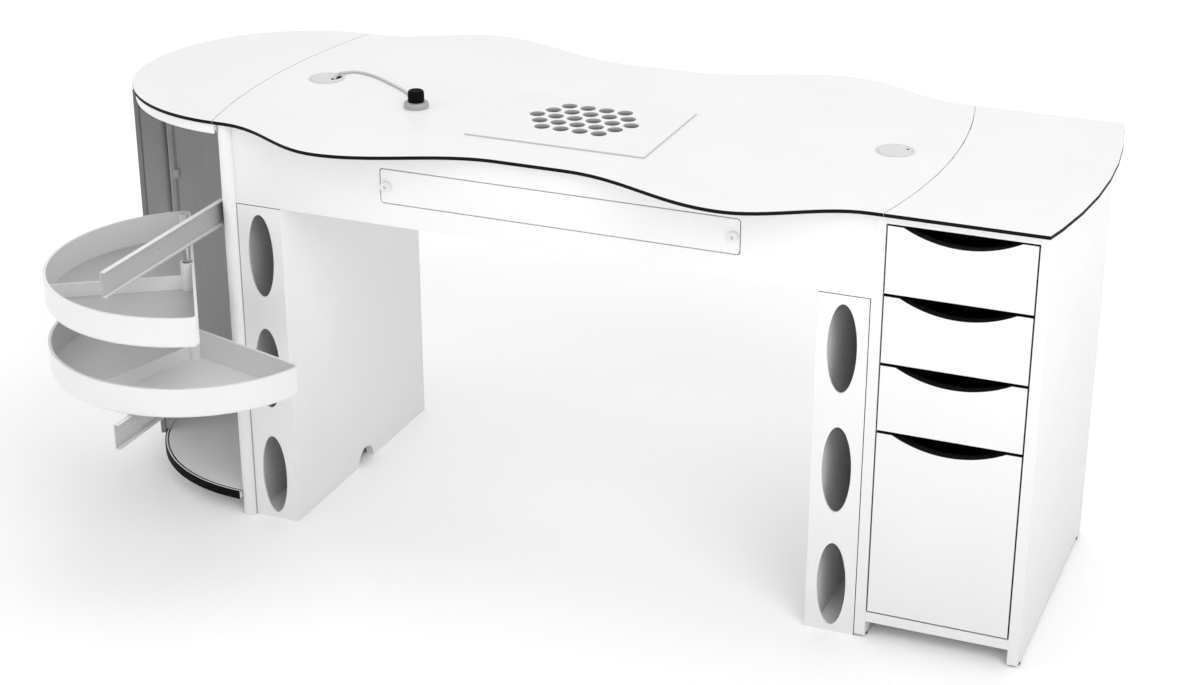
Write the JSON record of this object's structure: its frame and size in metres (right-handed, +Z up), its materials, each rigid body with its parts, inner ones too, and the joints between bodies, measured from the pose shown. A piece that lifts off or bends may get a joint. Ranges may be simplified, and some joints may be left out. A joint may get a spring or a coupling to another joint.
{
  "type": "manicure table",
  "caption": "White salon table with a wave-edged worktop, drawer cabinet, extractor grille, hollow legs and a half-round cabinet with swing-out trays.",
  "frame": {"origin": "on the floor, below the middle of the object's box, which lies on the worktop's centre in X and between the pull-out slides' front ends and the rear waves in Y", "axes": "+X along the worktop towards the drawer cabinet, -Y towards the side with the drawers, +Z up from the floor"},
  "size_m": [1.75, 0.994, 0.7853],
  "materials": {
    "compact_laminate": "white high-pressure laminate faces on a solid black core that shows at the cut edge, satin",
    "white_board": "white melamine-faced chipboard with white edging, satin",
    "grille_plate": "white acrylic plate, satin, light grey cut edge",
    "white_plastic": "white moulded plastic, smooth satin",
    "grey_plastic": "light grey moulded plastic, matt",
    "black_plastic": "black moulded plastic, fine texture",
    "drawer_box_grey": "black lacquered drawer box, satin",
    "grey_sheet": "mid grey slatted plastic sheet, matt",
    "dark_trim": "dark grey plastic trim, matt",
    "slide_paint": "light grey lacquered steel rails, satin",
    "dark_sheet": "dark grey lacquered sheet steel, satin",
    "galvanised_steel": "zinc-plated steel, dull",
    "steel_bar": "ground steel bar",
    "filter_fleece": "pleated black carbon filter fleece",
    "cord_sheath": "light grey soft cable sheath"
  },
  "bodies": {
    "frame": {"worktop_left": "compact_laminate", "worktop_centre": "compact_laminate", "worktop_right": "compact_laminate", "port_liners": "grey_plastic", "port_cap_left": "grey_plastic", "apron_front": "white_board", "apron_back": "white_board", "under_panel": "white_board", "under_bracket": "galvanised_steel", "extractor_case": "dark_sheet", "fan_motor": "black_plastic", "exhaust_grille": "grey_plastic", "power_unit": "black_plastic", "fan_lead": "cord_sheath", "leg_left_front": "white_board", "leg_left_side": "white_board", "leg_left_back": "white_board", "leg_right_front": "white_board", "leg_right_side": "white_board", "leg_right_back": "white_board", "tall_panel": "white_board", "cabinet_side_inner": "white_board", "cabinet_side_outer": "white_board", "cabinet_top": "white_board", "cabinet_base": "white_board", "cabinet_back": "white_board", "drawer_runners": "galvanised_steel", "end_top_plate": "white_board", "end_base_plate": "white_board", "end_base_band": "black_plastic", "end_back_wall": "grey_sheet", "wall_strip": "dark_trim", "tray_slides_fixed": "slide_paint", "control_base": "grey_plastic", "control_cord": "cord_sheath", "floor_glides": "black_plastic"},
    "grille": {"dust_grille": "grille_plate"},
    "right_cap": {"port_cap_right": "grey_plastic"},
    "filter_drawer": {"access_panel": "white_board", "filter_tray": "grey_plastic", "filter_element": "filter_fleece"},
    "knob_left": {"latch_knob_left": "white_plastic"},
    "knob_right": {"latch_knob_right": "white_plastic"},
    "fan": {"fan_rotor": "black_plastic"},
    "drawer_1": {"drawer_front_1": "white_board", "drawer_box_1": "drawer_box_grey"},
    "drawer_2": {"drawer_front_2": "white_board", "drawer_box_2": "drawer_box_grey"},
    "drawer_3": {"drawer_front_3": "white_board", "drawer_box_3": "drawer_box_grey"},
    "drawer_4": {"drawer_front_4": "white_board", "drawer_box_4": "drawer_box_grey"},
    "sliding_shutter": {"shutter": "grey_sheet", "shutter_handle": "dark_trim"},
    "pull_out": {"tray_slides_moving": "slide_paint", "tray_brackets": "slide_paint", "tray_post": "steel_bar"},
    "lower_tray": {"tray_lower": "white_plastic"},
    "upper_tray": {"tray_upper": "white_plastic"},
    "speed_knob": {"control_knob": "black_plastic"}
  },
  "joints": [
    {"name": "drawer_1_slide", "type": "slide", "parent": "frame", "child": "drawer_1", "axis": [0, -1, 0], "range_m": [0, 0.38]},
    {"name": "drawer_2_slide", "type": "slide", "parent": "frame", "child": "drawer_2", "axis": [0, -1, 0], "range_m": [0, 0.38]},
    {"name": "drawer_3_slide", "type": "slide", "parent": "frame", "child": "drawer_3", "axis": [0, -1, 0], "range_m": [0, 0.38]},
    {"name": "drawer_4_slide", "type": "slide", "parent": "frame", "child": "drawer_4", "axis": [0, -1, 0], "range_m": [0, 0.38]},
    {"name": "filter_drawer_slide", "type": "slide", "parent": "frame", "child": "filter_drawer", "axis": [0, -1, 0], "range_m": [0, 0.25]},
    {"name": "knob_left_turn", "type": "hinge", "parent": "filter_drawer", "child": "knob_left", "pos_m": [-0.2705, -0.137, 0.674], "axis": [0, -1, 0], "range_deg": [0, 90]},
    {"name": "knob_right_turn", "type": "hinge", "parent": "filter_drawer", "child": "knob_right", "pos_m": [0.3405, -0.137, 0.674], "axis": [0, 1, 0], "range_deg": [0, 90]},
    {"name": "grille_lift", "type": "slide", "parent": "frame", "child": "grille", "axis": [0, 0, 1], "range_m": [0, 0.05]},
    {"name": "fan_spin", "type": "hinge", "parent": "frame", "child": "fan", "pos_m": [0.258, 0.0685, 0.66], "axis": [0, 0, 1], "continuous": true},
    {"name": "right_cap_turn", "type": "hinge", "parent": "frame", "child": "right_cap", "pos_m": [0.524, 0.1305, 0.755], "axis": [0, 0, 1], "continuous": true},
    {"name": "shutter_slide", "type": "hinge", "parent": "frame", "child": "sliding_shutter", "pos_m": [-0.5875, 0.1285, 0.39], "axis": [0, 0, 1], "range_deg": [-20, 8]},
    {"name": "tray_pull_out", "type": "slide", "parent": "frame", "child": "pull_out", "axis": [0, -1, 0], "range_m": [-0.045, 0]},
    {"name": "lower_tray_swing", "type": "hinge", "parent": "pull_out", "child": "lower_tray", "pos_m": [-0.6167, -0.221, 0.45], "axis": [0, 0, 1], "range_deg": [-74, 16]},
    {"name": "upper_tray_swing", "type": "hinge", "parent": "pull_out", "child": "upper_tray", "pos_m": [-0.6167, -0.221, 0.45], "axis": [0, 0, 1], "range_deg": [-33, 57]},
    {"name": "speed_knob_turn", "type": "hinge", "parent": "frame", "child": "speed_knob", "pos_m": [-0.301, 0.0415, 0.77], "axis": [0, 0, 1], "range_deg": [-135, 135]}
  ]
}
